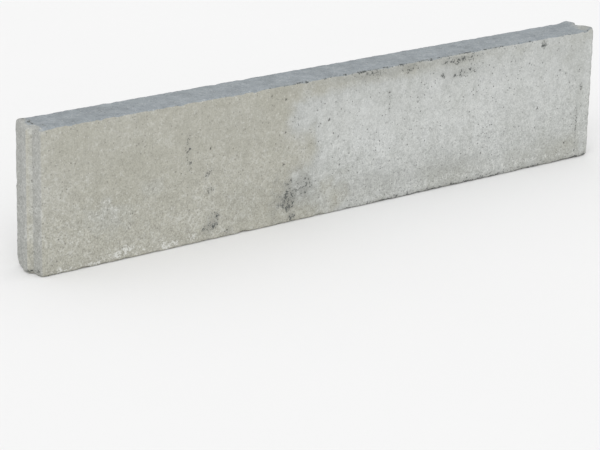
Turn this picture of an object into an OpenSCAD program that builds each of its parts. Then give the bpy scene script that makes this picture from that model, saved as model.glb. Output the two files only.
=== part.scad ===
// Precast concrete edging kerb with a tongue on one end and a groove on the other.
// It is cast in one piece, so it is one solid. It stands on its long narrow bed.
// X runs along the kerb, Y from the front face to the back face, and Z is up.
// The origin is on the bed, halfway between the two end shoulders. Units are mm.

/* [Body] */
// Length between the two end shoulders
face_length = 1000; // [200:1:1500]
// Height from the bed to the top
height = 200; // [80:1:400]
// Thickness from the front face to the back face
thickness = 60; // [40:1:150]

/* [End joint] */
// Width of the tongue at its root, across the thickness
tongue_width = 20; // [12:0.5:30]
// Width of the tongue at its crown, which its two sides slope to
tongue_crown = 11; // [6:0.5:20]
// How far the tongue stands out of its end
tongue_reach = 6; // [3:0.5:20]
// Radius of the tongue's two upright crown corners
tongue_round = 2; // [0.5:0.5:4]
// Free space between tongue and groove on each side, across the thickness
side_clearance = 1.5; // [0.5:0.25:4]
// Free space in front of the tongue when two kerbs touch
crown_clearance = 2; // [0.5:0.25:6]

/* [Edges] */
// Radius of the two long top edges
top_round = 3; // [0.5:0.5:10]
// Radius of the four upright end edges
end_round = 2; // [0.5:0.5:6]

/* [Hidden] */
$fn = 96;

// How far a cutter runs past what it cuts
over = 5;
// How much fuller than its radius a joint's round is
round_excess = 0.001;
groove_width = tongue_width + 2 * side_clearance;
groove_depth = tongue_reach + crown_clearance;
// The groove's sides run parallel to the tongue's
groove_floor = tongue_crown + 2 * side_clearance
    - crown_clearance * (tongue_width - tongue_crown) / tongue_reach;

// An upright bar that narrows from width at the plane x = 0 to crown at x = reach, with its
// two crown corners rounded. It starts behind that plane by root. Each round is a trifle fuller
// than its radius, so that it crosses its two faces and leaves no sliver between them.
module joint_bar(width, crown, reach, round_r, root, low, high) {
    slope = atan2((width - crown) / 2, reach);
    centre = width / 2 - ((reach - round_r) * sin(slope) + round_r) / cos(slope);
    touch = [reach - round_r + round_r * sin(slope), centre + round_r * cos(slope)];
    // A flat cut through both ends of a round takes the sharp corner off
    lean = (touch[1] - centre) / (reach - touch[0]);
    wide = width / 2 + over;
    cut_at_side = reach - (wide - centre) / lean;
    cut_past_crown = centre - over * lean;
    intersection() {
        translate([0, 0, low])
            linear_extrude(height = high - low)
                polygon([
                    [-root, -width / 2], [0, -width / 2], [reach, -crown / 2],
                    [reach, crown / 2], [0, width / 2], [-root, width / 2]
                ]);
        union() {
            translate([0, 0, low - over])
                linear_extrude(height = high - low + 2 * over)
                    polygon([
                        [-root - over, -wide], [cut_at_side, -wide], [reach + over, -cut_past_crown],
                        [reach + over, cut_past_crown], [cut_at_side, wide], [-root - over, wide]
                    ]);
            for (side = [-1, 1])
                translate([reach - round_r, side * centre, low - over])
                    cylinder(r = round_r + round_excess, h = high - low + 2 * over);
        }
    }
}

// What is cut away to round one long top edge, on the side that the sign gives.
module top_edge_cut(side) {
    translate([0, side * (thickness / 2 - top_round), height - top_round])
        difference() {
            translate([-face_length / 2 - over, side > 0 ? 0 : -top_round - over, 0])
                cube([face_length + 2 * over, top_round + over, top_round + over]);
            translate([-face_length / 2 - 2 * over, 0, 0])
                rotate([0, 90, 0])
                    cylinder(r = top_round, h = face_length + 4 * over);
        }
}

// What is cut away to round one upright end edge.
module end_edge_cut(end, side) {
    translate([end * (face_length / 2 - end_round), side * (thickness / 2 - end_round), 0])
        difference() {
            translate([end > 0 ? 0 : -end_round - over, side > 0 ? 0 : -end_round - over, -over])
                cube([end_round + over, end_round + over, height + 2 * over]);
            translate([0, 0, -2 * over])
                cylinder(r = end_round, h = height + 4 * over);
        }
}

module body() {
    difference() {
        translate([-face_length / 2, -thickness / 2, 0])
            cube([face_length, thickness, height]);
        for (side = [-1, 1]) {
            top_edge_cut(side);
            for (end = [-1, 1])
                end_edge_cut(end, side);
        }
    }
}

module tongue() {
    translate([-face_length / 2, 0, 0])
        mirror([1, 0, 0])
            joint_bar(tongue_width, tongue_crown, tongue_reach, tongue_round, over, 0, height);
}

module groove() {
    translate([face_length / 2, 0, 0])
        mirror([1, 0, 0])
            joint_bar(groove_width, groove_floor, groove_depth, tongue_round,
                over, -over, height + over);
}

module kerb_stone() {
    color([0.62, 0.62, 0.585])
        difference() {
            union() {
                body();
                tongue();
            }
            groove();
        }
}

kerb_stone();
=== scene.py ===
"""Looks of the concrete edging kerb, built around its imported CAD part.

The CAD node gives the size and the place. KerbStone builds a worn concrete skin that stands
for it, ConcreteFinish dresses that skin, and Studio makes the floor, the lights and the camera.
Lengths are in metres. X runs along the kerb, Y from its front face to its back, and Z is up.
"""

import logging
import math
import random
from dataclasses import dataclass, field
from enum import Enum
from typing import Mapping, Sequence

import bmesh
import bpy
import numpy as np
from mathutils import Matrix, Vector, noise

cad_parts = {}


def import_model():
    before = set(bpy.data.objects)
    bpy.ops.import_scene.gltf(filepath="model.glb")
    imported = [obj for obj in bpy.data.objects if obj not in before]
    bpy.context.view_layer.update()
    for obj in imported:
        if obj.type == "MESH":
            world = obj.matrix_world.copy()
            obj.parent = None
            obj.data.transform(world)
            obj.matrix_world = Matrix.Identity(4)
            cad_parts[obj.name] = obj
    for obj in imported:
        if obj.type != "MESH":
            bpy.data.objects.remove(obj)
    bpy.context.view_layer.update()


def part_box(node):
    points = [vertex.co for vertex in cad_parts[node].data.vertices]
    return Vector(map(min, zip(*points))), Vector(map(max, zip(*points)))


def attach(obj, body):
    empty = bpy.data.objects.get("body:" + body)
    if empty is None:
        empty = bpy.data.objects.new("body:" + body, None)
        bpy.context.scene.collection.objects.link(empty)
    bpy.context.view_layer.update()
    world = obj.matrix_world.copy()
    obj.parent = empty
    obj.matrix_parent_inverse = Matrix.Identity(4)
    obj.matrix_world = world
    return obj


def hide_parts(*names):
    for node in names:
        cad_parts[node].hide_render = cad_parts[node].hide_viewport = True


LOG = logging.getLogger("kerb")
MM = 0.001
ON_PLANE = 1e-6
NO_LENGTH = 1e-9
CELL = ((0, 0), (1, 0), (1, 1), (0, 1))
LAYERS = ("weather", "form")
Colour = tuple[float, float, float, float]
Span = tuple[float, float]


def smooth(value: float) -> float:
    """Eases a number from 0 to 1 and holds it there."""
    t = min(1.0, max(0.0, value))
    return t * t * (3.0 - 2.0 * t)


def smooth_all(values: np.ndarray) -> np.ndarray:
    """Eases every number of an array from 0 to 1."""
    t = np.clip(values, 0.0, 1.0)
    return t * t * (3.0 - 2.0 * t)


def shade(red: int, green: int, blue: int) -> Colour:
    """Turns a paint-chart colour, 0 to 255 per channel, into linear light.

    Args:
        red: The red channel.
        green: The green channel.
        blue: The blue channel.

    Returns:
        The linear colour with an alpha of 1.
    """
    parts = [c / 255.0 for c in (red, green, blue)]
    linear = [c / 12.92 if c <= 0.04045 else ((c + 0.055) / 1.055) ** 2.4 for c in parts]
    return (linear[0], linear[1], linear[2], 1.0)


@dataclass(frozen=True)
class Zone:
    """A stretch over which something sets in, from none at its start to all at its end."""

    start: float
    end: float

    def share(self, value: float) -> float:
        """Gives how far it has set in at one value."""
        return smooth((value - self.start) / (self.end - self.start))

    def share_all(self, values: np.ndarray) -> np.ndarray:
        """Gives how far it has set in at every value of an array."""
        return smooth_all((values - self.start) / (self.end - self.start))


class Side(Enum):
    """The six sides of the kerb: the axis that each one faces along, and its sign."""

    FRONT = (1, -1)
    BACK = (1, 1)
    TONGUE_END = (0, -1)
    GROOVE_END = (0, 1)
    BED = (2, -1)
    TOP = (2, 1)


class StainOrShade(Enum):
    """What a patch on the surface is, a stain, painted light or painted shade: the painted layer that holds
    it, and the channel there.
    """

    # Pale weathering, and a painted highlight down the tongue's front flank.
    BLOOM = ("weather", 0)
    # Grime, and a painted shadow line on the top beside the tongue end.
    GRIME = ("weather", 1)
    LIME = ("weather", 2)
    DULL = ("weather", 3)
    WEAR = ("form", 0)
    # Painted shade in the pits, deepest at their middles.
    PIT = ("form", 1)
    # The top face's colour: partly its denser finish, partly painted shade where it takes less light.
    CROWN = ("form", 2)
    # Painted shading of the end faces, and of the top beside both ends.
    END = ("form", 3)


@dataclass(frozen=True)
class Patch:
    """A soft-edged oval of one stain, painted light or painted shade on one side, in millimetres from the
    middle of its foot.
    """

    side: Side
    stain_or_shade: StainOrShade
    across: float
    up: float
    width: float
    height: float
    strength: float
    lean: float = 0.0

    def cover(self, across: np.ndarray, up: np.ndarray, wobble: np.ndarray) -> np.ndarray:
        """Works out how strongly the patch covers each point.

        Args:
            across: The places across the side.
            up: The places up the side.
            wobble: A noise that frays the patch's edge.

        Returns:
            The strengths, from 0 to the patch's own.
        """
        rise = up - self.up
        aside = across - self.across - rise * self.lean
        reach = np.hypot(aside / self.width, rise / self.height)
        return smooth_all(1.25 - reach - wobble * 0.5) * self.strength


@dataclass(frozen=True)
class Pit:
    """An air hole in the cast surface, in millimetres from the middle of its side's foot."""

    side: Side
    across: float
    up: float
    radius: float
    depth: float
    stretch: float
    turn: float

    def bowl(self, across: np.ndarray, up: np.ndarray) -> np.ndarray:
        """Works out how deep each point lies in the hole, from 0 outside it to 1 at its middle.

        Args:
            across: The places across the side.
            up: The places up the side.

        Returns:
            The share of the hole's depth at each point.
        """
        aside, rise = (across - self.across) * self.stretch, (up - self.up) / self.stretch
        angle = np.arctan2(rise, aside)
        lobes = 1.0 + 0.2 * np.cos(3.0 * angle + self.turn) + 0.12 * np.cos(2.0 * angle - self.turn)
        return np.clip(1.0 - (np.hypot(aside, rise) / (self.radius * lobes)) ** 2.2, 0.0, 1.0)


@dataclass(frozen=True)
class Chip:
    """A place where an edge has broken away: its middle, its reach and its bite, in metres."""

    at: tuple[float, float, float]
    reach: float
    bite: float


@dataclass(frozen=True)
class EndJoint:
    """The upright tongue or groove down the middle of an end, with sides that slope to its crown."""

    width: float
    crown: float
    reach: float
    corner: float
    corner_steps: int = 4
    shoulder_lines: Span = (11 * MM, 15 * MM)
    root_gaps: Span = (1.4 * MM, 0.3 * MM)

    def outline(self, flank: float, near: Sequence[float]) -> list[tuple[float, float]]:
        """Draws one half of the joint across the end, from the outer face to its middle.

        Args:
            flank: Half the kerb's thickness.
            near: The places of the mesh lines next to the outer edge.

        Returns:
            Pairs of the distance from the outer face and the reach there.
        """
        slope = math.atan2((self.width - self.crown) / 2, self.reach)
        level = self.reach - self.corner
        centre = self.width / 2 - (level * math.sin(slope) + self.corner) / math.cos(slope)
        root = flank - self.width / 2
        steps = self.corner_steps
        turns = [slope + (math.pi / 2 - slope) * n / steps for n in range(steps + 1)]
        corner = [
            (flank - centre - self.corner * math.cos(a), level + self.corner * math.sin(a)) for a in turns
        ]
        shoulder = [*near, *self.shoulder_lines, *(root - gap for gap in self.root_gaps)]
        side = [(root, 0.0), ((root + corner[0][0]) / 2, corner[0][1] / 2)]
        return [(d, 0.0) for d in shoulder] + side + corner + [(flank - centre / 2, self.reach)]


class Wire:
    """A socket that takes part in Python expressions by adding the nodes that work them out."""

    def __init__(self, tree: bpy.types.NodeTree, socket: bpy.types.NodeSocket) -> None:
        """Wraps one output socket.

        Args:
            tree: The node tree that it belongs to.
            socket: The output socket.
        """
        self.tree = tree
        self.socket = socket

    def _join(self, target: bpy.types.NodeSocket, thing: "Wire | float | Sequence[float]") -> None:
        """Links or sets one input.

        Args:
            target: The input socket.
            thing: The wire or the value that goes into it.
        """
        if isinstance(thing, Wire):
            self.tree.links.new(thing.socket, target)
        elif hasattr(target.default_value, "__len__"):
            parts = list(thing) if hasattr(thing, "__len__") else [float(thing)] * 3
            target.default_value = (parts + [1.0])[: len(target.default_value)]
        else:
            target.default_value = float(thing)

    def _work(self, word: str, other: "Wire | float | Sequence[float]", swap: bool = False) -> "Wire":
        """Adds the node for one operator.

        Args:
            word: The operation's name, which Math, Vector Math and Mix share.
            other: The other side of the operator.
            swap: True when the other side comes first.

        Returns:
            The result.
        """
        kinds = {w.socket.type for w in (self, other) if isinstance(w, Wire)}
        places, result = (0, 1), 0
        if "RGBA" in kinds:
            node = self.tree.nodes.new("ShaderNodeMix")
            node.data_type, node.blend_type = "RGBA", word
            node.inputs[0].default_value = 1.0
            places, result = (6, 7), 2
        elif "VECTOR" in kinds or hasattr(other, "__len__"):
            node = self.tree.nodes.new("ShaderNodeVectorMath")
            node.operation = word
        else:
            node = self.tree.nodes.new("ShaderNodeMath")
            node.operation = word
        first, second = (other, self) if swap else (self, other)
        self._join(node.inputs[places[0]], first)
        self._join(node.inputs[places[1]], second)
        return Wire(self.tree, node.outputs[result])

    def __add__(self, other: "Wire | float") -> "Wire":
        """self + other."""
        return self._work("ADD", other)

    def __radd__(self, other: "Wire | float") -> "Wire":
        """other + self."""
        return self._work("ADD", other, swap=True)

    def __sub__(self, other: "Wire | float") -> "Wire":
        """self - other."""
        return self._work("SUBTRACT", other)

    def __rsub__(self, other: "Wire | float") -> "Wire":
        """other - self."""
        return self._work("SUBTRACT", other, swap=True)

    def __mul__(self, other: "Wire | float | Sequence[float]") -> "Wire":
        """self * other."""
        return self._work("MULTIPLY", other)

    def __rmul__(self, other: "Wire | float | Sequence[float]") -> "Wire":
        """other * self."""
        return self._work("MULTIPLY", other, swap=True)


class Bench:
    """A material's node tree, with one method that adds any node."""

    def __init__(self, name: str) -> None:
        """Starts an empty material.

        Args:
            name: The material's name.
        """
        self.material = bpy.data.materials.new(name)
        self.material.use_nodes = True
        self.tree = self.material.node_tree
        self.tree.nodes.clear()

    def node(
        self,
        kind: str,
        settings: Mapping[str, object] | None = None,
        inputs: Mapping[str | int, object] | None = None,
        output: str | int = 0,
    ) -> Wire | None:
        """Adds one node, sets it up and fills its sockets.

        Args:
            kind: The node's type, without the ShaderNode in front.
            settings: The node's own settings, which are set first.
            inputs: What goes into its sockets, by name or number: a Wire or a value.
            output: The output that is wanted, by name or number.

        Returns:
            The wanted output, or None for a node that has no outputs.
        """
        made = self.tree.nodes.new("ShaderNode" + kind)
        for name, value in (settings or {}).items():
            setattr(made, name, value)
        for name, value in (inputs or {}).items():
            if isinstance(value, Wire):
                self.tree.links.new(value.socket, made.inputs[name])
            else:
                made.inputs[name].default_value = value
        return Wire(self.tree, made.outputs[output]) if len(made.outputs) else None

    def blend(self, low: Wire | Colour, high: Wire | Colour, factor: Wire) -> Wire:
        """Fades from one colour to another by a factor from 0 to 1."""
        settings = {"data_type": "RGBA", "clamp_factor": True}
        return self.node("Mix", settings, {0: factor, 6: low, 7: high}, output=2)

    def step(self, value: Wire, low: float, high: float) -> Wire:
        """Eases a value from 0 at low to 1 at high."""
        ends = {"Value": value, "From Min": low, "From Max": high, "To Min": 0.0, "To Max": 1.0}
        return self.node("MapRange", {"interpolation_type": "SMOOTHSTEP"}, ends)

    def grain(self, place: Wire, scale: float, detail: float = 3.0, rough: float = 0.55) -> Wire:
        """Makes noise about zero, from -0.5 to 0.5, with features 1 / scale metres across."""
        sizes = {"Vector": place, "Scale": scale, "Detail": detail, "Roughness": rough}
        return self.node("TexNoise", None, sizes) - 0.5


@dataclass(frozen=True)
class Grain:
    """The noises that the concrete is mixed from, and how near the foot a point is."""

    cloud: Wire
    mottle: Wire
    fleck: Wire
    sand: Wire
    low: Wire
    ragged: Wire
    grit: Wire


@dataclass(frozen=True)
class Fade:
    """Where one colour gives way to the next, and how much the noises fray that edge."""

    start: float
    end: float
    ragged: float
    cloud: float = 0.0

    def edge(self, bench: Bench, amount: Wire, grain: Grain) -> Wire:
        """Turns a painted amount into a frayed factor.

        Args:
            bench: The node tree to add to.
            amount: The painted amount.
            grain: The noises.

        Returns:
            The factor, from 0 to 1.
        """
        frayed = amount + grain.cloud * self.cloud if self.cloud else amount
        return bench.step(frayed + grain.ragged * self.ragged, self.start, self.end)


@dataclass(frozen=True)
class Tone:
    """How much each noise lightens and darkens the concrete."""

    cloud: float = 0.18
    mottle: float = 0.22
    crown_mottle: float = 0.5
    fleck: float = 0.5
    sand: float = 0.85
    fine: float = 0.78
    fine_low: float = 0.6
    blue: float = 0.05

    def colour(self, bench: Bench, grain: Grain, crown: Wire) -> Wire:
        """Mixes the tone that the body colour is multiplied by.

        Args:
            bench: The node tree to add to.
            grain: The noises.
            crown: How much a point belongs to the top.

        Returns:
            The tone as a colour, which is a little bluer where it is lighter.
        """
        broad = 1.0 + grain.cloud * self.cloud + grain.mottle * (self.mottle + crown * self.crown_mottle)
        fine = (grain.fleck * self.fleck + grain.sand * self.sand) * (grain.low * self.fine_low + self.fine)
        tone = broad + fine
        return bench.node("CombineColor", None, {0: tone, 1: tone, 2: tone + grain.cloud * self.blue})


@dataclass(frozen=True)
class ConcreteFinish:
    """Weathered cast concrete, from the beige end of the kerb to the pale one, with painted shade on the top
    face (partly its own darker finish), on the end faces and in the pits and pores.

    The scales are features per metre, and each strength is how far a mark covers what is under it.
    """

    warm: Colour = shade(165, 164, 154)
    cool: Colour = shade(172, 174, 171)
    pale: Colour = shade(186, 188, 186)
    # The top face: its denser, darker finish, and painted bluish shade where it takes less light.
    crown: Colour = shade(140, 146, 150)
    # The end faces' grey: painted shade, eased off on the tongue's lit front flank and painted as light on
    # the top beside both ends.
    end: Colour = shade(156, 157, 153)
    dull: Colour = shade(141, 142, 137)
    # Grime, and the painted shadow line on the top beside the tongue end.
    grime: Colour = shade(70, 73, 72)
    lime: Colour = shade(206, 207, 203)
    # Painted shade inside the pits and pores.
    hollow: Colour = shade(70, 71, 68)
    to_cool: Fade = Fade(0.0, 0.66, 0.3, cloud=0.5)
    to_pale: Fade = Fade(0.42, 1.05, 0.2, cloud=0.4)
    to_dull: Fade = Fade(0.05, 1.2, 0.7)
    to_top_tone_and_shade: Fade = Fade(0.3, 0.66, 1.1)
    to_end_shading: Fade = Fade(0.0, 1.0, 0.2)
    smudge_and_shadow: Fade = Fade(0.1, 1.1, 1.0)
    tone: Tone = Tone()
    cloud_scale: float = 11.0
    mottle_scale: float = 62.0
    fleck_scale: float = 190.0
    sand_scale: float = 430.0
    stone_scale: float = 300.0
    thread_scale: float = 125.0
    thread_width: float = 0.0024
    bare: Zone = Zone(0.02, 0.3)
    lime_crumbs: Zone = Zone(0.5, 1.0)
    grime_crumbs: Zone = Zone(0.6, 1.15)
    foot_zone: Zone = Zone(0.02, 0.17)
    lime_strength: float = 0.8
    chalk_strength: float = 0.34
    smudge_strength: float = 0.5
    grime_strength: float = 0.85
    pit_shade_strength: float = 0.75
    roughness: float = 0.88
    bump_depth: float = 0.9 * MM

    def painted(self, bench: Bench) -> dict[StainOrShade, Wire]:
        """Reads every painted channel.

        Args:
            bench: The node tree to add to.

        Returns:
            The amount of each stain.
        """
        found: dict[StainOrShade, Wire] = {}
        for name in LAYERS:
            colour = bench.node("Attribute", {"attribute_name": name}, output="Color")
            alpha = bench.node("Attribute", {"attribute_name": name}, output="Alpha")
            channels = [bench.node("SeparateColor", None, {0: colour}, output=n) for n in range(3)] + [alpha]
            found.update({stain_or_shade: channels[stain_or_shade.value[1]] for stain_or_shade in StainOrShade if stain_or_shade.value[0] == name})
        return found

    def grains(self, bench: Bench, place: Wire) -> Grain:
        """Makes the noises.

        Args:
            bench: The node tree to add to.
            place: The place on the object.

        Returns:
            The noises, from the widest to the finest, and their mixtures.
        """
        cloud = bench.grain(place, self.cloud_scale, 4.0, 0.6)
        mottle = bench.grain(place, self.mottle_scale, 4.0, 0.62)
        fleck = bench.grain(place, self.fleck_scale, 3.0, 0.62)
        sand = bench.grain(place, self.sand_scale, 2.0, 0.7)
        up = bench.node("SeparateXYZ", None, {0: place}, output=2)
        low = 1.0 - bench.step(up, self.foot_zone.start, self.foot_zone.end)
        ragged = mottle * 0.8 + fleck * 0.8 + sand * 0.5
        grit = fleck * 3.4 + sand * 3.4 + mottle * 1.2
        return Grain(cloud, mottle, fleck, sand, low, ragged, grit)

    def specks(self, bench: Bench, place: Wire, grain: Grain) -> tuple[Wire, Wire]:
        """Picks out small stones, some as pores darkened with painted shade and some as chalky grains.

        Args:
            bench: The node tree to add to.
            place: The place on the object.
            grain: The noises.

        Returns:
            The pores and the chalky grains, each from 0 to 1.
        """
        settings = {"Vector": place, "Scale": self.stone_scale}
        near = bench.node("TexVoronoi", None, settings, output="Distance")
        lot = bench.node("TexVoronoi", None, settings, output="Color")
        draw = bench.node("SeparateColor", None, {0: lot}, output=0)
        size = bench.node("SeparateColor", None, {0: lot}, output=1)
        pore = 1.0 - bench.step(near + size * 0.14, 0.2, 0.42)
        chalk = 1.0 - bench.step(near + size * 0.15, 0.22, 0.48)
        is_pore = bench.step(draw + grain.cloud * 0.4, 0.8, 0.88)
        is_chalk = 1.0 - bench.step(draw + grain.cloud * 0.3, 0.16, 0.24)
        return pore * is_pore, chalk * is_chalk

    def threads(self, bench: Bench, place: Wire, grain: Grain, crown: Wire) -> Wire:
        """Draws the thin light squiggles of the cement skin.

        Args:
            bench: The node tree to add to.
            place: The place on the object.
            grain: The noises.
            crown: How much a point belongs to the top, where they are fainter.

        Returns:
            How strongly they show.
        """
        worm = bench.grain(place, self.thread_scale, 1.5, 0.5)
        thread = 1.0 - bench.step(worm * worm, 0.0, self.thread_width)
        groups = bench.step(grain.mottle + grain.cloud * 0.5, -0.08, 0.1)
        return thread * groups * (grain.low * 0.16 + 0.2) * (1.0 - crown * 0.6)

    def crumbs(self, bench: Bench, amount: Wire, grain: Grain, coarse: float, zone: Zone) -> Wire:
        """Breaks a painted amount up into crumbs, and leaves none where nothing is painted.

        Args:
            bench: The node tree to add to.
            amount: The painted amount.
            grain: The noises.
            coarse: How much of the grit goes in.
            zone: Where the crumbs set in and where they cover everything.

        Returns:
            The factor, from 0 to 1.
        """
        broken = bench.step(amount + grain.grit * coarse, zone.start, zone.end)
        return broken * bench.step(amount, self.bare.start, self.bare.end)

    def material(self) -> bpy.types.Material:
        """Builds the node material of the kerb.

        Returns:
            The finished material.
        """
        bench = Bench("cast_concrete")
        place = bench.node("TexCoord", output="Object")
        marks = self.painted(bench)
        grain = self.grains(bench, place)
        pore, chalk = self.specks(bench, place, grain)
        bloom, crown = marks[StainOrShade.BLOOM], marks[StainOrShade.CROWN]

        coats = (
            (self.cool, bloom, self.to_cool),
            (self.pale, bloom, self.to_pale),
            (self.dull, marks[StainOrShade.DULL], self.to_dull),
            # Top coat: the top's denser finish and painted shade.
            (self.crown, crown, self.to_top_tone_and_shade),
            # End coat: painted shading of the end faces and of the top beside the ends.
            (self.end, marks[StainOrShade.END], self.to_end_shading),
        )
        body: Wire | Colour = self.warm
        for colour, amount, fade in coats:
            body = bench.blend(body, colour, fade.edge(bench, amount, grain))
        body = body * self.tone.colour(bench, grain, crown)

        lime = self.crumbs(bench, marks[StainOrShade.LIME], grain, 0.8, self.lime_crumbs)
        # The smudge and the grime crumbs follow the grime channel, which also holds the painted shadow line
        # on the top beside the tongue end.
        smudge_and_shadow = self.smudge_and_shadow.edge(bench, marks[StainOrShade.GRIME], grain)
        grime = self.crumbs(bench, marks[StainOrShade.GRIME], grain, 1.0, self.grime_crumbs)
        # Painted shade in the pits, deepest at their middles.
        pit = bench.step(marks[StainOrShade.PIT] + grain.fleck * 0.5, 0.25, 0.95)
        cover = (
            (self.lime, lime * self.lime_strength),
            (self.lime, chalk * self.chalk_strength),
            (self.lime, self.threads(bench, place, grain, crown)),
            (self.dull, smudge_and_shadow * self.smudge_strength),
            (self.grime, grime * self.grime_strength),
            # Painted shade in the pores, stronger where the front is paler.
            (self.hollow, pore * (bloom * 0.45 + 0.32)),
            (self.hollow, pit * self.pit_shade_strength),
        )
        for colour, factor in cover:
            body = bench.blend(body, colour, factor)

        texture = grain.mottle * 0.6 + grain.fleck * 0.7 + grain.sand * 0.6
        height = texture - pore * 0.8 + marks[StainOrShade.WEAR] * (grain.fleck + grain.sand)
        relief = {"Strength": 0.6, "Distance": self.bump_depth, "Height": height}
        surface = bench.node(
            "BsdfPrincipled",
            None,
            {
                "Base Color": body,
                "Roughness": self.roughness + grain.sand * 0.12 - crown * 0.05,
                "Normal": bench.node("Bump", None, relief),
                "IOR": 1.45,
                "Specular IOR Level": 0.25,
            },
        )
        bench.node("OutputMaterial", None, {"Surface": surface})
        return bench.material


@dataclass(frozen=True)
class Relief:
    """How far the cast surface waves in and out, with the scale of each wave per metre."""

    swell: float = 0.25 * MM
    swell_scale: float = 11.0
    ripple: float = 0.17 * MM
    ripple_scale: float = 60.0
    crumb: float = 0.45 * MM
    crumb_loss: float = 0.1 * MM
    crumb_scale: float = 230.0
    crumb_zone: float = 5 * MM

    def height(self, point: Vector, edge: float) -> float:
        """Gives how far the surface stands out or in at a point.

        Args:
            point: A point of the sharp skin.
            edge: Its distance from the nearest edge.

        Returns:
            The height in metres.
        """
        swell = self.swell * noise.noise(point * self.swell_scale)
        ripple = self.ripple * noise.fractal(point * self.ripple_scale, 1.0, 2.1, 3)
        crumb = math.exp(-edge / self.crumb_zone) * noise.fractal(point * self.crumb_scale, 0.9, 2.1, 3)
        return swell + ripple + self.crumb * crumb - self.crumb_loss * abs(crumb)


@dataclass(frozen=True)
class MouldRim:
    """The concrete that the mould left standing on top of both ends, and where it sets in.

    The zones named for an end run inwards from that end's shoulder.
    """

    tongue: float = 1.2 * MM
    groove: float = 2.8 * MM
    corner: float = 0.8 * MM
    up: Zone = Zone(0.165, 0.200)
    from_tongue: Zone = Zone(0.024, 0.004)
    from_groove: Zone = Zone(0.016, 0.004)
    from_corner: Zone = Zone(0.020, 0.005)
    to_front: Zone = Zone(-0.012, -0.026)

    def height(self, point: Vector, half: float) -> float:
        """Gives how far the top is raised at a point.

        Args:
            point: A point of the sharp skin.
            half: Half the kerb's length between its shoulders.

        Returns:
            The height in metres.
        """
        high = self.up.share(point.z)
        if high == 0.0:
            return 0.0
        tongue = self.from_tongue.share(point.x + half) * self.tongue
        groove = self.from_groove.share(half - point.x) * self.groove
        corner = self.from_corner.share(half - point.x) * self.to_front.share(point.y) * self.corner
        return (tongue + groove + corner) * high


@dataclass(frozen=True)
class WeatheringAndShading:
    """Where the front turns from beige to pale and where dirt gathers, in millimetres, and how much painted
    shade parts of the tongue end take.

    Each dirt is how much there is, and how much a noise adds to or takes from it. The scales are
    features per metre.
    """

    pale: float = 0.64
    back: float = 0.2
    change: Zone = Zone(-124.0, 1.0)
    change_drift: float = 95.0
    change_wobble: float = 25.0
    foot_fade: float = 0.28
    foot_zone: Zone = Zone(58.0, 18.0)
    top_fade: float = 0.5
    top_fade_right: float = 0.18
    top_zone: Zone = Zone(168.0, 190.0)
    right_zone: Zone = Zone(120.0, 300.0)
    ridge_zone: Zone = Zone(-190.0, -70.0)
    ridge_ebb: Zone = Zone(290.0, 400.0)
    ridge_width: float = 5.0
    foot_from: Zone = Zone(-30.0, 70.0)
    foot_width: float = 8.0
    side_width: float = 3.0
    rim_width: float = 4.0
    ridge_ebb_share: float = 0.5
    ridge_dirt: Span = (0.6, 0.7)
    foot_dirt: Span = (0.9, 0.9)
    side_dirt: Span = (0.95, 0.6)
    # How much of the ends' painted shade the tongue's lit front flank and the front shoulder take.
    flank_shade_share: float = 0.1
    shoulder_shade_share: float = 0.75
    drift_scale: float = 16.0
    wobble_scale: float = 90.0


@dataclass(frozen=True)
class Skin:
    """What is known about every point of the mesh when it is painted.

    The points are those of the sharp skin, in metres. Facing is the direction before the pits, worn
    is how worn the edge is, and pit shade is the painted shade of how deep a point lies in a pit, both from
    0 to 1.
    """

    points: np.ndarray
    facing: np.ndarray
    worn: np.ndarray
    pit_shade: np.ndarray

    def toward(self, side: Side) -> np.ndarray:
        """Gives how squarely each point faces a side, from 0 to 1."""
        axis, sign = side.value
        return np.clip(self.facing[:, axis] * sign * 2.0, 0.0, 1.0)

    def rough(self, scale: float, octaves: int) -> np.ndarray:
        """Gives a noise at every point, with features 1 / scale metres across."""
        return np.array([noise.fractal(Vector(p) * scale, 1.0, 2.0, octaves) for p in self.points])


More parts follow.
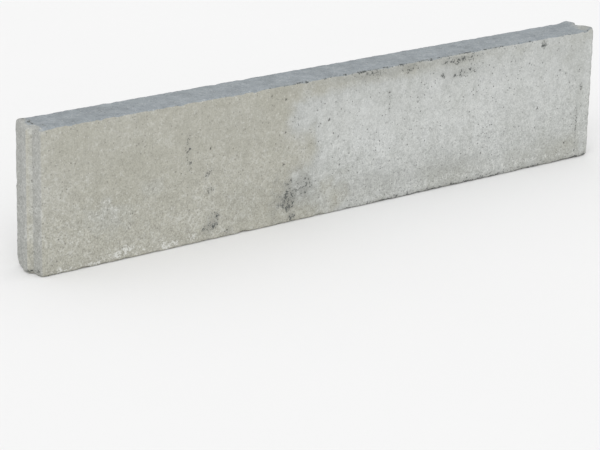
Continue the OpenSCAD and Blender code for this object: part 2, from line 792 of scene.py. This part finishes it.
@dataclass
class KerbStone:
    """The cast kerb: a skin with real edges, pits and wear, over the CAD part's exact box."""

    half: float
    flank: float
    height: float
    tongue: EndJoint
    groove: EndJoint
    blend: float = 45 * MM
    long_edge: float = 2.6 * MM
    upright_edge: float = 2.4 * MM
    end_edge: float = 3.4 * MM
    step_along: float = 3.4 * MM
    step_up: float = 3.9 * MM
    near_edge: tuple[float, ...] = (0.0, 0.6 * MM, 1.3 * MM, 2.2 * MM, 3.4 * MM, 5.0 * MM, 7.5 * MM)
    edge_zone: float = 20 * MM
    edge_mix: float = 2 * MM
    least_radius: float = 0.6 * MM
    lump_scale: float = 70.0
    edge_lumps: float = 0.45
    chip_lumps: float = 0.5
    split_margins: Span = (2.6, 0.6)
    pit_full_shade_radius: float = 1.9
    wear_from: Zone = Zone(3.2 * MM, 7.2 * MM)
    bin_length: float = 0.03
    bin_reach: float = 0.035
    relief: Relief = Relief()
    rim: MouldRim = MouldRim()
    weathering_and_shading: WeatheringAndShading = WeatheringAndShading()
    seed: int = 20
    pits: list[Pit] = field(default_factory=list)
    chips: list[Chip] = field(default_factory=list)
    patches: list[Patch] = field(default_factory=list)
    chip_bins: dict[int, list[Chip]] = field(default_factory=dict)

    def __post_init__(self) -> None:
        """Settles where every pit, chip, stain and patch of painted light and shade is."""
        self.dice = random.Random(self.seed)
        self.pits = self.air_holes()
        self.chips = self.broken_edges()
        self.patches = self.stains_and_shading()
        for chip in self.chips:
            ends = (chip.at[0] - self.bin_reach, chip.at[0] + self.bin_reach)
            first, last = (round(end / self.bin_length) for end in ends)
            for cell in range(first, last + 1):
                self.chip_bins.setdefault(cell, []).append(chip)

    # ---- what is where ----

    def air_holes(self) -> list[Pit]:
        """Lists the holes that stand out, and scatters smaller ones between them.

        Returns:
            Every pit of the skin.
        """
        front = [
            (-228, 130, 2.2), (-267, 132, 1.3), (-266, 149, 1.5), (-266, 165, 1.2), (-300, 123, 1.2),
            (-287, 107, 1.4), (-261, 107, 1.4), (-273, 93, 1.2), (-246, 82, 1.4), (-238, 47, 1.3),
            (-383, 108, 1.5), (-394, 80, 1.5), (-406, 61, 1.2), (-373, 39, 1.4), (-460, 161, 1.2),
            (-324, 147, 1.2), (-99, 179, 2.4), (-124, 187, 1.9), (-122, 167, 1.3), (-21, 138, 2.9),
            (-4, 111, 1.9), (-2, 93, 1.6), (17, 83, 1.7), (0, 69, 2.0), (-99, 132, 2.0), (-101, 86, 2.2),
            (90, 161, 2.2), (90, 155, 1.6), (90, 137, 1.8), (86, 117, 1.5), (-62, 59, 2.0), (-199, 9, 1.9),
            (124, 185, 2.0), (143, 189, 1.8), (367, 165, 2.0), (328, 173, 1.7), (294, 140, 1.8),
            (292, 169, 1.6), (432, 145, 1.8), (474, 140, 1.8), (388, 92, 2.9), (144, 146, 1.8),
            (145, 139, 2.0), (480, 109, 2.3), (427, 39, 1.6), (449, 28, 2.1), (343, 70, 1.6),
            (274, 41, 2.0), (256, 99, 1.5), (214, 66, 1.5), (138, 111, 1.5),
        ]
        made = [self.hole(Side.FRONT, x, z, r) for x, z, r in front]
        corner = [(-22, 5.5, 2.3), (-18, 4, 1.6), (-9, 4, 1.6)]
        made += [self.hole(Side.TONGUE_END, y, z, r) for y, z, r in corner]
        spread = [
            (Side.FRONT, 55, 0.7, 1.4), (Side.BACK, 90, 0.8, 2.2), (Side.TOP, 26, 0.8, 2.0),
            (Side.TONGUE_END, 9, 0.8, 1.6), (Side.GROOVE_END, 9, 0.8, 1.8),
        ]
        margin = 8
        for side, count, least, most in spread:
            across = (self.flank if side.value[0] == 0 else self.half) / MM - margin
            top = (self.flank * 2 if side.value[0] == 2 else self.height) / MM - margin
            for _ in range(count):
                spot = self.dice.uniform(-across, across), self.dice.uniform(margin, top)
                made.append(self.hole(side, *spot, self.dice.uniform(least, most)))
        for _ in range(34):
            spot = self.dice.uniform(130, 490), self.dice.uniform(4, 13)
            made.append(self.hole(Side.FRONT, *spot, self.dice.uniform(0.8, 1.7)))
        return made

    def hole(self, side: Side, across: float, up: float, radius: float) -> Pit:
        """Makes one pit, with a depth, a stretch and a turn of its own.

        Args:
            side: The side that it is in.
            across: Its place across the side, in millimetres.
            up: Its place up the side, in millimetres.
            radius: Its radius, in millimetres.

        Returns:
            The pit.
        """
        depth = radius * self.dice.uniform(0.55, 0.95)
        stretch = self.dice.uniform(0.75, 1.3)
        turn = self.dice.uniform(0.0, 3.1)
        return Pit(side, across, up, radius, depth, stretch, turn)

    def knock(self, at: tuple[float, float, float], reach: float, bite: Span) -> Chip:
        """Makes one small chip.

        Args:
            at: Its middle, in metres.
            reach: The most it may reach, in millimetres.
            bite: The least and the most it may bite, in millimetres.

        Returns:
            The chip.
        """
        return Chip(at, self.dice.uniform(3.0, reach) * MM, self.dice.uniform(*bite) * MM)

    def broken_edges(self) -> list[Chip]:
        """Lists the broken corners, and scatters small knocks along the edges.

        Returns:
            Every chip of the skin.
        """
        x, y, top = self.half, self.flank, self.height
        made = [
            Chip((-x, y, 0.0), 0.015, 0.0065),
            Chip((-x, -y, 0.0), 0.009, 0.0016),
            Chip((-x, 0.0, 0.0), 0.010, 0.0015),
            Chip((-x, -0.006, top), 0.012, 0.004),
            Chip((-x, -y, top), 0.013, 0.0045),
            Chip((-x, y, top), 0.011, 0.002),
            Chip((x, -y, 0.0), 0.008, 0.001),
            Chip((x, -y, top), 0.011, 0.004),
            Chip((x, y, top), 0.012, 0.003),
            Chip((-0.490, y, 0.165), 0.010, 0.0012),
        ]
        runs = [(-y, top, 60, 2.4), (y, top, 44, 2.2), (-y, 0.0, 90, 3.2), (y, 0.0, 50, 3.0)]
        for edge_y, edge_z, count, bite in runs:
            for _ in range(count):
                spot = (self.dice.uniform(-x, x), edge_y, edge_z)
                made.append(self.knock(spot, 11.0, (0.5, bite)))
        for edge_x in (-x, x):
            for edge_y in (-y, y):
                for _ in range(7):
                    spot = (edge_x, edge_y, self.dice.uniform(0.01, top - 0.01))
                    made.append(self.knock(spot, 9.0, (0.4, 1.6)))
        return made

    def stains_and_shading(self) -> list[Patch]:
        """Lists the blooms, smudges, streaks and worn places of the surface, with the painted highlight,
        painted light and painted shadow line among them.

        Returns:
            Every patch of the skin.
        """
        front, back, top, tongue_end = Side.FRONT, Side.BACK, Side.TOP, Side.TONGUE_END
        bloom, grime, lime, dull, end = StainOrShade.BLOOM, StainOrShade.GRIME, StainOrShade.LIME, StainOrShade.DULL, StainOrShade.END
        rows = [
            (front, bloom, 120, 118, 190, 52, 0.30), (front, bloom, 330, 112, 170, 60, 0.20),
            (front, bloom, 5, 126, 55, 46, 0.18), (front, bloom, -400, 66, 50, 30, 0.34),
            (front, bloom, -320, 92, 30, 20, 0.25), (front, bloom, 489, 100, 10, 95, 0.30),
            (front, grime, -226, 25, 15, 16, 1.0, 0.3), (front, grime, -92, 32, 18, 26, 0.84, 0.1),
            (front, grime, -90, 57, 13, 13, 0.70), (front, grime, -59, 47, 17, 15, 0.65),
            (front, grime, -85, 10, 11, 8, 0.75), (front, grime, -199, 8, 10, 7, 0.60),
            (front, grime, -232, 95, 6, 10, 0.60, 0.5), (front, grime, -230, 71, 7, 11, 0.55, 0.4),
            (front, grime, -265, 140, 8, 45, 0.40), (front, grime, -100, 110, 8, 60, 0.16),
            (front, grime, 394, 192, 5, 8, 0.85), (front, grime, 192, 171, 8, 5, 0.60, 0.3),
            (front, grime, 213, 169, 9, 6, 0.75, 0.3), (front, grime, 229, 168, 8, 5, 0.70, 0.3),
            (front, grime, 235, 171, 38, 6, 0.62), (front, grime, 257, 191, 16, 7, 0.50),
            (front, grime, 215, 190, 34, 9, 0.70), (front, grime, 124, 192, 22, 9, 0.60),
            (front, grime, 60, 193, 30, 7, 0.50), (front, grime, 472.1, 52, 2.4, 40, 0.8),
            (front, grime, 479, 112, 4, 10, 0.60), (front, grime, 432, 145, 9, 3, 0.50),
            (front, grime, 90, 150, 5, 34, 0.40), (front, grime, 300, 5, 190, 5, 0.42),
            (front, dull, 0, 14, 60, 13, 0.34), (front, dull, -185, 150, 66, 44, 0.20, 0.3),
            (front, dull, -84, 40, 62, 44, 0.62), (front, dull, -170, 44, 70, 44, 0.32),
            (front, dull, 70, 30, 110, 26, 0.45), (front, dull, 200, 31, 120, 26, 0.50),
            (front, dull, 122, 27, 34, 18, 0.40), (front, dull, 400, 20, 110, 24, 0.34),
            (front, dull, 90, 194, 170, 13, 0.62), (front, dull, -60, 190, 60, 12, 0.35),
            (front, dull, 220, 174, 70, 12, 0.35), (front, dull, 480, 112, 14, 30, 0.25),
            (front, lime, 300, 13, 200, 9, 0.44), (front, lime, -367, 11, 22, 9, 0.95),
            (front, lime, -441, 42, 26, 18, 0.26), (front, lime, -467, 4, 24, 5, 0.80),
            (front, lime, -298, 8, 24, 7, 0.80), (front, lime, -259, 9, 15, 6, 0.65),
            (front, lime, -420, 4, 28, 5, 0.75), (front, lime, -350, 9, 90, 9, 0.34),
            (front, lime, -385, 70, 55, 40, 0.22),
            (back, bloom, -180, 120, 210, 60, 0.75), (back, bloom, 260, 70, 150, 50, 0.55),
            (back, dull, 30, 30, 140, 28, 0.50), (back, dull, -300, 188, 150, 14, 0.45),
            (back, grime, 120, 40, 16, 20, 0.80, 0.1), (back, grime, -240, 22, 14, 14, 0.70, 0.2),
            (back, grime, 330, 190, 40, 8, 0.60), (back, lime, 400, 8, 50, 7, 0.70),
            # Painted light: the top beside both ends takes the lighter end shading, where the rounded end
            # arris turns toward the light.
            (top, end, -497, 52, 12, 14, 1.0, -0.4), (top, end, -499, 30, 5, 30, 0.9),
            (top, end, -499, 8, 6, 14, 0.9), (top, end, 492, 12, 14, 20, 0.75),
            (top, end, 497, 40, 6, 24, 0.5), (top, grime, -380, 30, 60, 20, 0.25),
            (top, grime, 60, 36, 130, 16, 0.22), (top, grime, 420, 30, 60, 20, 0.22),
            # Painted shadow: a thin dark line on the top beside the tongue end, between the lit end and the
            # darker top.
            (top, grime, -489, 32, 3.2, 30, 1.0, -0.12),
            # Painted highlight: a light streak down the tongue's front flank, where the light falls on it.
            (tongue_end, bloom, -9.2, 100, 2.4, 260, 0.26),
            (tongue_end, grime, -21, 5, 7, 5, 0.95), (tongue_end, grime, -7, 4, 6, 4, 0.8),
        ]
        return [Patch(*row) for row in rows]

    # ---- the mesh ----

    def lines(self, length: float, step: float) -> list[float]:
        """Places mesh lines over a length, close together beside both ends.

        Args:
            length: The length to cover.
            step: The spacing away from the ends.

        Returns:
            The places, from 0 to the length.
        """
        last = self.near_edge[-1]
        inner = length - 2 * last
        count = max(1, round(inner / step))
        middle = [last + inner * n / count for n in range(1, count)]
        return [*self.near_edge, *middle, *(length - v for v in reversed(self.near_edge))]

    def across(self, half_line: Sequence[tuple[float, float]], reach: float) -> list[tuple[float, float]]:
        """Mirrors half an end outline about the middle of the thickness.

        Args:
            half_line: Pairs of the distance from the outer face and the reach.
            reach: The reach at the middle.

        Returns:
            Pairs of Y and the reach, from the front face to the back.
        """
        line = [(-self.flank + d, r) for d, r in half_line]
        return [*line, (0.0, reach), *((-y, r) for y, r in reversed(line))]

    def lattice(self) -> tuple[bmesh.types.BMesh, bmesh.types.BMLayerItem]:
        """Builds the closed skin as six gridded sides with sharp edges.

        Returns:
            The mesh, and the layer that holds how far the end joints push each point along X.
        """
        tongue = self.tongue.outline(self.flank, self.near_edge)
        groove = self.groove.outline(self.flank, self.near_edge)
        last, rest = self.near_edge[-1], len(tongue) - len(self.near_edge)
        plain = [*self.near_edge, *(last + (self.flank - last) * n / (rest + 1) for n in range(1, rest + 1))]
        tongue_line = self.across(tongue, self.tongue.reach)
        groove_line = self.across(groove, self.groove.reach)
        plain_line = self.across([(d, 0.0) for d in plain], 0.0)
        along = self.lines(2 * self.half, self.step_along)
        up = self.lines(self.height, self.step_up)
        ni, nj, nk = len(along) - 1, len(plain_line) - 1, len(up) - 1

        mesh = bmesh.new()
        push = mesh.verts.layers.float.new("push")
        spots: dict[tuple[int, int, int], bmesh.types.BMVert] = {}

        def spot(i: int, j: int, k: int) -> bmesh.types.BMVert:
            """Finds or makes the point of one grid place.

            Args:
                i: The line along the kerb.
                j: The line across its thickness.
                k: The line up its height.

            Returns:
                The point.
            """
            if (i, j, k) not in spots:
                at_tongue = 1.0 - smooth(along[i] / self.blend)
                at_groove = 1.0 - smooth((2 * self.half - along[i]) / self.blend)
                y = plain_line[j][0]
                y += (tongue_line[j][0] - y) * at_tongue + (groove_line[j][0] - y) * at_groove
                point = mesh.verts.new((along[i] - self.half, y, up[k]))
                point[push] = -(tongue_line[j][1] * at_tongue + groove_line[j][1] * at_groove)
                spots[i, j, k] = point
            return spots[i, j, k]

        for k in (0, nk):
            for i in range(ni):
                for j in range(nj):
                    mesh.faces.new([spot(i + a, j + b, k) for a, b in CELL])
        for j in (0, nj):
            for i in range(ni):
                for k in range(nk):
                    mesh.faces.new([spot(i + a, j, k + b) for a, b in CELL])
        for i in (0, ni):
            for j in range(nj):
                for k in range(nk):
                    mesh.faces.new([spot(i, j + a, k + b) for a, b in CELL])
        bmesh.ops.recalc_face_normals(mesh, faces=mesh.faces[:])
        return mesh, push

    def plane(self, side: Side) -> float:
        """Gives where a side's flat plane crosses its own axis."""
        axis, sign = side.value
        return {0: self.half * sign, 1: self.flank * sign, 2: self.height if sign > 0 else 0.0}[axis]

    def side_map(self, side: Side, points: np.ndarray) -> tuple[np.ndarray, np.ndarray]:
        """Gives each point's place on one side.

        Args:
            side: The side.
            points: The points of the sharp skin, in metres.

        Returns:
            The places across the side and up it, in millimetres.
        """
        axis = side.value[0]
        if axis == 1:
            return points[:, 0] / MM, points[:, 2] / MM
        if axis == 0:
            return points[:, 1] / MM, points[:, 2] / MM
        return points[:, 0] / MM, (points[:, 1] + self.flank) / MM

    def refine(self, mesh: bmesh.types.BMesh) -> None:
        """Splits the grid around each pit so that the hole has a shape of its own.

        Args:
            mesh: The sharp skin.
        """
        for margin in self.split_margins:
            chosen: set[bmesh.types.BMEdge] = set()
            for side in Side:
                holes = [p for p in self.pits if p.side is side]
                if not holes:
                    continue
                axis, level = side.value[0], self.plane(side)
                edges = [e for e in mesh.edges if all(abs(v.co[axis] - level) < ON_PLANE for v in e.verts)]
                middles = np.array([tuple((e.verts[0].co + e.verts[1].co) / 2) for e in edges])
                across, up = self.side_map(side, middles)
                for hole in holes:
                    near = np.hypot(across - hole.across, up - hole.up) < hole.radius + margin
                    chosen.update(edges[int(n)] for n in np.nonzero(near)[0])
            bmesh.ops.subdivide_edges(mesh, edges=list(chosen), cuts=1, use_grid_fill=True)

    def edge_radius(self, point: Vector, gap: Sequence[float]) -> float:
        """Works out how round the nearest edge is at a point.

        Args:
            point: A point of the sharp skin.
            gap: Its distances from the nearest sides along X, Y and Z.

        Returns:
            The radius in metres.
        """
        total = weight = 0.0
        edges = ((1, 2, self.long_edge), (0, 1, self.upright_edge), (0, 2, self.end_edge))
        for first, second, radius in edges:
            near = 1.0 / (self.edge_mix + gap[first] + gap[second]) ** 2
            total += radius * near
            weight += near
        lumps = noise.fractal(point * self.lump_scale, 1.0, 2.0, 3)
        size = total / weight * (1.0 + self.edge_lumps * lumps)
        for chip in self.chip_bins.get(round(point.x / self.bin_length), ()):
            far = (point - Vector(chip.at)).length / chip.reach
            if far < 1.0:
                size += chip.bite * (1.0 - far * far) ** 2 * (1.0 + self.chip_lumps * lumps)
        return max(self.least_radius, size)

    def round_edges(self, point: Vector) -> tuple[Vector, float, float]:
        """Moves a point of the sharp skin onto the rounded, worn one.

        Args:
            point: A point of the sharp skin.

        Returns:
            The new place, the radius there, and the distance from the nearest edge.
        """
        gap = (self.half - abs(point.x), self.flank - abs(point.y), min(point.z, self.height - point.z))
        edge = sum(sorted(gap)[:2])
        if edge > self.edge_zone:
            return point.copy(), 0.0, edge
        size = self.edge_radius(point, gap)
        inner = Vector(
            (
                max(size - self.half, min(self.half - size, point.x)),
                max(size - self.flank, min(self.flank - size, point.y)),
                max(size, min(self.height - size, point.z)),
            )
        )
        arm = point - inner
        moved = inner + arm.normalized() * size if arm.length > NO_LENGTH else point.copy()
        return moved, size, edge

    def dig(self, points: np.ndarray) -> tuple[np.ndarray, np.ndarray]:
        """Works out how deep each point lies in a pit.

        Args:
            points: The points of the sharp skin.

        Returns:
            The depths in metres, and how much painted shade each point gets in its pit, from 0 to 1.
        """
        deep, pit_shade = np.zeros(len(points)), np.zeros(len(points))
        for side in Side:
            here = np.nonzero(np.abs(points[:, side.value[0]] - self.plane(side)) < ON_PLANE)[0]
            across, up = self.side_map(side, points[here])
            for hole in (p for p in self.pits if p.side is side):
                bowl = hole.bowl(across, up)
                deep[here] = np.maximum(deep[here], bowl * hole.depth * MM)
                pit_shade[here] = np.maximum(pit_shade[here], bowl * min(1.0, hole.radius / self.pit_full_shade_radius))
        return deep, pit_shade

    def build(self) -> bpy.types.Object:
        """Builds the kerb's skin, with its edges, pits and painted layers.

        Returns:
            The new object.
        """
        mesh, push = self.lattice()
        self.refine(mesh)
        bmesh.ops.triangulate(mesh, faces=[f for f in mesh.faces if len(f.verts) > 4])
        sharp = [v.co.copy() for v in mesh.verts]
        rounded = [self.round_edges(point) for point in sharp]
        for vert, point, (moved, _, _) in zip(mesh.verts, sharp, rounded):
            vert.co = moved + Vector((vert[push], 0.0, self.rim.height(point, self.half)))
        mesh.normal_update()
        normals = [v.normal.copy() for v in mesh.verts]
        points = np.array([tuple(p) for p in sharp])
        deep, pit_shade = self.dig(points)
        for vert, point, normal, (_, _, edge), hollow in zip(mesh.verts, sharp, normals, rounded, deep):
            vert.co += normal * (self.relief.height(point, edge) - float(hollow))
            vert.co.z = max(0.0, vert.co.z)
        data = bpy.data.meshes.new("kerb_skin")
        mesh.to_mesh(data)
        mesh.free()
        data.shade_smooth()
        kerb = bpy.data.objects.new("kerb_skin", data)
        bpy.context.scene.collection.objects.link(kerb)
        worn = self.wear_from.share_all(np.array([size for _, size, _ in rounded]))
        self.paint(data, Skin(points, np.array([tuple(n) for n in normals]), worn, pit_shade))
        return kerb

    # ---- the painted layers ----

    def bloom(self, skin: Skin, wobble: np.ndarray) -> np.ndarray:
        """Works out how pale the concrete is, before its patches.

        Args:
            skin: The points of the mesh.
            wobble: A noise that frays the edges.

        Returns:
            The amount of bloom, from 0 at the beige end.
        """
        how = self.weathering_and_shading
        x, z = skin.points[:, 0] / MM, skin.points[:, 2] / MM
        drift = skin.rough(how.drift_scale, 2)
        cool = how.change.share_all(x + drift * how.change_drift + wobble * how.change_wobble)
        cool *= 1 - how.foot_fade * how.foot_zone.share_all(z)
        top_fade = how.top_fade - (how.top_fade - how.top_fade_right) * how.right_zone.share_all(x)
        cool *= 1 - top_fade * how.top_zone.share_all(z)
        return how.pale * cool * skin.toward(Side.FRONT) + how.back * skin.toward(Side.BACK)

    def edge_dirt(self, skin: Skin, wobble: np.ndarray) -> np.ndarray:
        """Works out how much dirt sits along the top, the foot, the groove end and the back rim.

        Args:
            skin: The points of the mesh.
            wobble: A noise that breaks the dirt up.

        Returns:
            The amount of grime, which may go past 0 and 1.
        """
        how = self.weathering_and_shading
        x, y, z = (skin.points[:, n] / MM for n in range(3))
        half, flank, height = self.half / MM, self.flank / MM, self.height / MM

        def along(distance: np.ndarray, width: float, side: Side) -> np.ndarray:
            """Gives how near each point of one side is to an edge, from 0 to 1."""
            return np.clip(1.0 - distance / width, 0.0, 1.0) * skin.toward(side)

        ridge = along(np.abs(z - height), how.ridge_width, Side.FRONT) * how.ridge_zone.share_all(x)
        ridge *= 1 - how.ridge_ebb_share * how.ridge_ebb.share_all(x)
        foot = along(z, how.foot_width, Side.FRONT) * how.foot_from.share_all(x)
        side = along(half - x, how.side_width, Side.FRONT)
        rim = along(flank - y, how.rim_width, Side.TOP)
        places = ((ridge, how.ridge_dirt), (foot, how.foot_dirt), (np.maximum(side, rim), how.side_dirt))
        return np.max([place * (least + more * wobble) for place, (least, more) in places], axis=0)

    def end_face_shading(self, skin: Skin) -> np.ndarray:
        """Works out how much painted shade each point of an end face takes, less on the tongue's lit flank.

        Args:
            skin: The points of the mesh.

        Returns:
            The amounts, from 0 to 1.
        """
        x, y = skin.points[:, 0] / MM, skin.points[:, 1] / MM
        root, crown = -self.tongue.width / MM / 2, -self.tongue.crown / MM / 2
        on_flank = (x < 1.0 - self.half / MM) & (y > root - 0.4) & (y < crown + 0.9)
        at_end = np.clip(np.abs(skin.facing[:, 0]) * 1.3 - 0.15, 0, 1)
        beside = np.where(y > crown, 1.0, self.weathering_and_shading.shoulder_shade_share)
        return at_end * np.where(on_flank, self.weathering_and_shading.flank_shade_share, beside)

    def paint(self, data: bpy.types.Mesh, skin: Skin) -> None:
        """Paints the two layers that the material reads, which hold stains and painted light and shade.

        Args:
            data: The finished mesh.
            skin: The points of the mesh.
        """
        wobble = skin.rough(self.weathering_and_shading.wobble_scale, 3)
        layers = {name: np.zeros((len(skin.points), 4)) for name in LAYERS}

        def channel(stain_or_shade: StainOrShade) -> np.ndarray:
            """Gives the painted channel of one stain or painted shading."""
            name, number = stain_or_shade.value
            return layers[name][:, number]

        channel(StainOrShade.BLOOM)[:] = self.bloom(skin, wobble)
        for patch in self.patches:
            amount = patch.cover(*self.side_map(patch.side, skin.points), wobble) * skin.toward(patch.side)
            if patch.stain_or_shade is StainOrShade.BLOOM:
                channel(patch.stain_or_shade)[:] += amount
            else:
                channel(patch.stain_or_shade)[:] = np.maximum(channel(patch.stain_or_shade), amount)
        dirt = np.maximum(channel(StainOrShade.GRIME), self.edge_dirt(skin, wobble))
        channel(StainOrShade.GRIME)[:] = np.clip(dirt, 0, 1)
        channel(StainOrShade.WEAR)[:] = skin.worn
        # Painted shade in the pits, deepest at each pit's middle.
        channel(StainOrShade.PIT)[:] = skin.pit_shade
        # Painted shade: the top face takes the darker, bluer top colour, partly its own denser finish.
        channel(StainOrShade.CROWN)[:] = np.clip(skin.facing[:, 2] * 1.5 - 0.2, 0, 1)
        # Painted shading: the end faces take the greyer end colour, less on the tongue's lit front flank.
        channel(StainOrShade.END)[:] = np.maximum(channel(StainOrShade.END), self.end_face_shading(skin))
        for name, values in layers.items():
            layer = data.color_attributes.new(name, "FLOAT_COLOR", "POINT")
            layer.data.foreach_set("color", values.astype(np.float32).ravel())


@dataclass(frozen=True)
class Studio:
    """A pale floor, a bright room, one soft lamp and the camera."""

    eye: tuple[float, float, float] = (-2.062, -2.473, 1.018)
    aim: tuple[float, float, float] = (-0.0518, -0.0075, -0.0172)
    roll: float = 1.34
    lens: float = 141.25
    room: float = 0.92
    lamp: float = 1.25
    lamp_from: tuple[float, float, float] = (-0.60, -0.62, 0.62)
    lamp_spread: float = 45.0
    floor_shade: float = 0.81
    floor_half: float = 40.0
    floor_drop: float = 0.4 * MM

    def floor(self) -> None:
        """Lays a wide pale floor."""
        bench = Bench("pale_floor")
        place = bench.node("TexCoord", output="Object")
        tone = bench.grain(place, 3.0, 2.0) * 0.01 + self.floor_shade
        colour = bench.node("CombineColor", None, {0: tone, 1: tone, 2: tone})
        finish = {"Base Color": colour, "Roughness": 0.95, "Specular IOR Level": 0.1}
        surface = bench.node("BsdfPrincipled", None, finish)
        bench.node("OutputMaterial", None, {"Surface": surface})
        mesh = bmesh.new()
        bmesh.ops.create_grid(mesh, x_segments=4, y_segments=4, size=self.floor_half)
        data = bpy.data.meshes.new("studio_floor")
        mesh.to_mesh(data)
        mesh.free()
        data.materials.append(bench.material)
        floor = bpy.data.objects.new("studio_floor", data)
        floor.location = (0.0, 0.0, -self.floor_drop)
        bpy.context.scene.collection.objects.link(floor)

    def lights(self) -> None:
        """Fills the room with plain white light and adds one wide soft lamp."""
        world = bpy.data.worlds.new("studio_room")
        world.use_nodes = True
        back = world.node_tree.nodes["Background"]
        back.inputs["Color"].default_value = (1.0, 1.0, 1.0, 1.0)
        back.inputs["Strength"].default_value = self.room
        bpy.context.scene.world = world
        lamp = bpy.data.lights.new("soft_lamp", "SUN")
        lamp.energy, lamp.angle = self.lamp, math.radians(self.lamp_spread)
        hung = bpy.data.objects.new("soft_lamp", lamp)
        hung.location = Vector(self.lamp_from) * 3.0
        hung.rotation_mode = "QUATERNION"
        hung.rotation_quaternion = (-Vector(self.lamp_from)).to_track_quat("-Z", "Y")
        bpy.context.scene.collection.objects.link(hung)

    def camera(self) -> None:
        """Sets the camera up."""
        data = bpy.data.cameras.new("studio_camera")
        data.lens, data.sensor_width = self.lens, 36.0
        data.clip_start, data.clip_end = 0.05, 120.0
        camera = bpy.data.objects.new("studio_camera", data)
        look = (Vector(self.aim) - Vector(self.eye)).to_track_quat("-Z", "Y").to_matrix().to_4x4()
        turn = Matrix.Rotation(math.radians(self.roll), 4, "Z")
        camera.matrix_world = Matrix.Translation(self.eye) @ look @ turn
        bpy.context.scene.collection.objects.link(camera)
        bpy.context.scene.camera = camera

    def build(self) -> None:
        """Makes the whole studio."""
        self.floor()
        self.lights()
        self.camera()
        bpy.context.scene.view_settings.view_transform = "Standard"
        bpy.context.scene.view_settings.look = "None"


def main() -> None:
    """Loads the CAD part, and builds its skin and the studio."""
    logging.basicConfig(level=logging.INFO, format="%(name)s: %(message)s")
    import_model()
    low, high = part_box("kerb_stone")
    reach = -low[0] - high[0]
    stone = KerbStone(
        half=high[0],
        flank=high[1],
        height=high[2],
        tongue=EndJoint(width=20 * MM, crown=11 * MM, reach=reach, corner=2 * MM),
        groove=EndJoint(width=23 * MM, crown=11 * MM, reach=reach + 2 * MM, corner=2 * MM),
    )
    kerb = stone.build()
    kerb.data.materials.append(ConcreteFinish().material())
    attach(kerb, "root")
    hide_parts("kerb_stone")
    points = len(kerb.data.vertices)
    triangles = sum(len(face.vertices) - 2 for face in kerb.data.polygons)
    LOG.info("kerb_skin: %d points, %d triangles, %d pits", points, triangles, len(stone.pits))
    Studio().build()
    LOG.info("studio: floor, soft lamp, camera")


if __name__ == "__main__":
    main()
